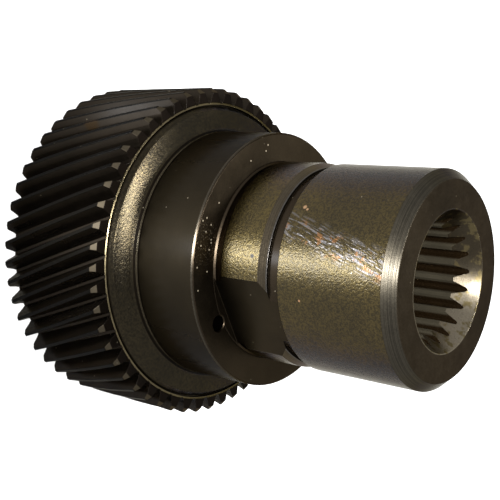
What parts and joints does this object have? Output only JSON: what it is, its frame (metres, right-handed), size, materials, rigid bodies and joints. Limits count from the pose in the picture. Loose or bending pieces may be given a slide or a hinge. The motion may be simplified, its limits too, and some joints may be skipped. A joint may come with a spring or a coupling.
{
  "type": "transfer case input gear",
  "caption": "Helical gear forged in one piece with a stepped hollow shaft: thrust shoulder, plain hub, bearing journals, relief groove, milled flat, oil hole and splined bore.",
  "frame": {"origin": "centre of the gear's rear face, on the axis", "axes": "+Z along the axis from the gear to the nose; the milled flat and its oil hole look towards -Y"},
  "size_m": [0.087, 0.087, 0.1036],
  "materials": {
    "dark_steel": "dark machined and hardened steel with a film of gear oil, ground journals, turned chamfers"
  },
  "bodies": {
    "root": {"input_gear": "dark_steel"}
  },
  "joints": []
}
